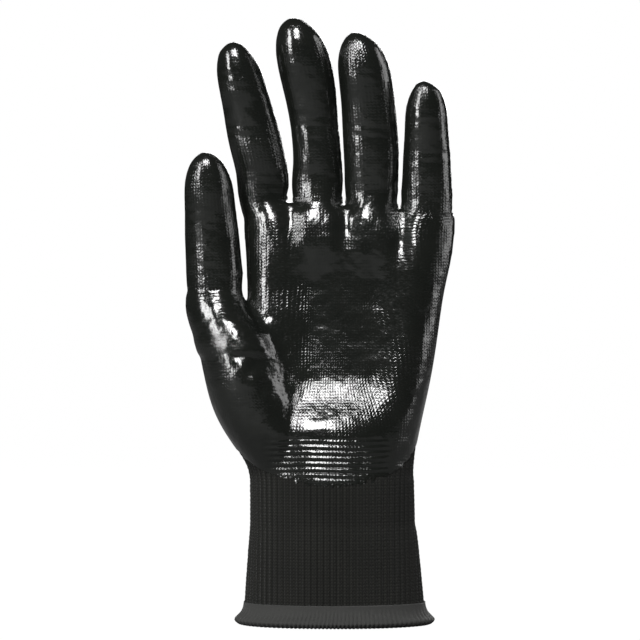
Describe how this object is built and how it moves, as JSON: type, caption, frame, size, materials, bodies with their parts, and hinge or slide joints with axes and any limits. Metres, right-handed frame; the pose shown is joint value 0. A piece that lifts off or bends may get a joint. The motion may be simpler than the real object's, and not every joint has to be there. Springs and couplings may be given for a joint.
{
  "type": "work glove",
  "caption": "Left-hand work glove: a black seamless knit with a glossy nitrile coating over the palm, fingers and fingertips, and a long ribbed elastic cuff with an overlocked hem.",
  "frame": {"origin": "centre of the wrist opening, in the plane of the hem's lower edge", "axes": "+Z from the wrist opening to the fingertips, -Y the way the palm faces, thumb on the -X side"},
  "size_m": [0.1121, 0.0568, 0.25],
  "materials": {
    "knit": "matt seamless nylon knit",
    "cuff_knit": "matt ribbed elastic knit",
    "nitrile": "glossy smooth nitrile with the knit showing through",
    "coated_fold": "nitrile-coated knit, creased",
    "elastic": "covered elastic yarn",
    "hem_thread": "overlock thread"
  },
  "bodies": {
    "cuff": {"cuff_liner": "cuff_knit", "cuff_elastic": "elastic", "hem_thread": "hem_thread", "wrist_fold": "cuff_knit"},
    "palm": {"palm_liner": "knit", "palm_coating": "nitrile", "index_root_fold": "coated_fold", "middle_root_fold": "coated_fold", "ring_root_fold": "coated_fold", "little_root_fold": "coated_fold", "thumb_root_fold": "coated_fold"},
    "index_lower": {"index_lower_liner": "knit", "index_lower_coating": "nitrile", "index_middle_fold": "coated_fold"},
    "index_upper": {"index_upper_liner": "knit", "index_upper_coating": "nitrile", "index_tip_fold": "coated_fold"},
    "index_tip": {"index_tip_liner": "knit", "index_tip_coating": "nitrile"},
    "middle_lower": {"middle_lower_liner": "knit", "middle_lower_coating": "nitrile", "middle_middle_fold": "coated_fold"},
    "middle_upper": {"middle_upper_liner": "knit", "middle_upper_coating": "nitrile", "middle_tip_fold": "coated_fold"},
    "middle_tip": {"middle_tip_liner": "knit", "middle_tip_coating": "nitrile"},
    "ring_lower": {"ring_lower_liner": "knit", "ring_lower_coating": "nitrile", "ring_middle_fold": "coated_fold"},
    "ring_upper": {"ring_upper_liner": "knit", "ring_upper_coating": "nitrile", "ring_tip_fold": "coated_fold"},
    "ring_tip": {"ring_tip_liner": "knit", "ring_tip_coating": "nitrile"},
    "little_lower": {"little_lower_liner": "knit", "little_lower_coating": "nitrile", "little_middle_fold": "coated_fold"},
    "little_upper": {"little_upper_liner": "knit", "little_upper_coating": "nitrile", "little_tip_fold": "coated_fold"},
    "little_tip": {"little_tip_liner": "knit", "little_tip_coating": "nitrile"},
    "thumb_lower": {"thumb_lower_liner": "knit", "thumb_lower_coating": "nitrile", "thumb_tip_fold": "coated_fold"},
    "thumb_tip": {"thumb_tip_liner": "knit", "thumb_tip_coating": "nitrile"}
  },
  "joints": [
    {"name": "wrist_bend", "type": "hinge", "parent": "cuff", "child": "palm", "pos_m": [0, 0, 0.05], "axis": [1, 0, 0], "range_deg": [-30, 30], "stiffness_Nm_per_rad": 0.6, "deforming": ["wrist_fold"]},
    {"name": "index_root_bend", "type": "hinge", "parent": "palm", "child": "index_lower", "pos_m": [-0.02791, -0.00016, 0.1845], "axis": [0.9874, 0, 0.1583], "range_deg": [-10, 60], "stiffness_Nm_per_rad": 0.02, "deforming": ["index_root_fold"]},
    {"name": "index_middle_bend", "type": "hinge", "parent": "index_lower", "child": "index_upper", "pos_m": [-0.0319, -0.00163, 0.203], "axis": [0.9842, 0, 0.1769], "range_deg": [0, 80], "stiffness_Nm_per_rad": 0.02, "deforming": ["index_middle_fold"]},
    {"name": "index_tip_bend", "type": "hinge", "parent": "index_upper", "child": "index_tip", "pos_m": [-0.03668, -0.00504, 0.2235], "axis": [0.9824, 0, 0.1867], "range_deg": [-5, 50], "stiffness_Nm_per_rad": 0.02, "deforming": ["index_tip_fold"]},
    {"name": "middle_root_bend", "type": "hinge", "parent": "palm", "child": "middle_lower", "pos_m": [-0.00504, -0.00008, 0.183], "axis": [0.9998, 0, 0.0214], "range_deg": [-10, 60], "stiffness_Nm_per_rad": 0.02, "deforming": ["middle_root_fold"]},
    {"name": "middle_middle_bend", "type": "hinge", "parent": "middle_lower", "child": "middle_upper", "pos_m": [-0.00679, -0.0016, 0.207], "axis": [0.9956, 0, 0.0941], "range_deg": [0, 80], "stiffness_Nm_per_rad": 0.02, "deforming": ["middle_middle_fold"]},
    {"name": "middle_tip_bend", "type": "hinge", "parent": "middle_upper", "child": "middle_tip", "pos_m": [-0.01052, -0.00487, 0.23], "axis": [0.9868, 0, 0.162], "range_deg": [-5, 50], "stiffness_Nm_per_rad": 0.02, "deforming": ["middle_tip_fold"]},
    {"name": "ring_root_bend", "type": "hinge", "parent": "palm", "child": "ring_lower", "pos_m": [0.01704, -0.00009, 0.17977], "axis": [1, 0, 0.0045], "range_deg": [-10, 60], "stiffness_Nm_per_rad": 0.02, "deforming": ["ring_root_fold"]},
    {"name": "ring_middle_bend", "type": "hinge", "parent": "ring_lower", "child": "ring_upper", "pos_m": [0.01639, -0.00162, 0.20278], "axis": [0.999, 0, 0.0456], "range_deg": [0, 80], "stiffness_Nm_per_rad": 0.02, "deforming": ["ring_middle_fold"]},
    {"name": "ring_tip_bend", "type": "hinge", "parent": "ring_upper", "child": "ring_tip", "pos_m": [0.01423, -0.00497, 0.22528], "axis": [0.9938, 0, 0.1107], "range_deg": [-5, 50], "stiffness_Nm_per_rad": 0.02, "deforming": ["ring_tip_fold"]},
    {"name": "little_root_bend", "type": "hinge", "parent": "palm", "child": "little_lower", "pos_m": [0.03981, -0.00015, 0.1764], "axis": [1, 0, 0.0064], "range_deg": [-10, 60], "stiffness_Nm_per_rad": 0.02, "deforming": ["little_root_fold"]},
    {"name": "little_middle_bend", "type": "hinge", "parent": "little_lower", "child": "little_upper", "pos_m": [0.03963, -0.00163, 0.1924], "axis": [0.9999, 0, 0.0116], "range_deg": [0, 80], "stiffness_Nm_per_rad": 0.02, "deforming": ["little_middle_fold"]},
    {"name": "little_tip_bend", "type": "hinge", "parent": "little_upper", "child": "little_tip", "pos_m": [0.03935, -0.00481, 0.2089], "axis": [0.9999, 0, 0.0152], "range_deg": [-5, 50], "stiffness_Nm_per_rad": 0.02, "deforming": ["little_tip_fold"]},
    {"name": "thumb_root_bend", "type": "hinge", "parent": "palm", "child": "thumb_lower", "pos_m": [-0.04806, -0.00418, 0.145], "axis": [0.9933, 0.1044, 0.0505], "range_deg": [-15, 45], "stiffness_Nm_per_rad": 0.02, "deforming": ["thumb_root_fold"]},
    {"name": "thumb_tip_bend", "type": "hinge", "parent": "thumb_lower", "child": "thumb_tip", "pos_m": [-0.04951, -0.00667, 0.168], "axis": [0.9933, 0.1044, 0.0505], "range_deg": [-10, 60], "stiffness_Nm_per_rad": 0.02, "deforming": ["thumb_tip_fold"]}
  ]
}
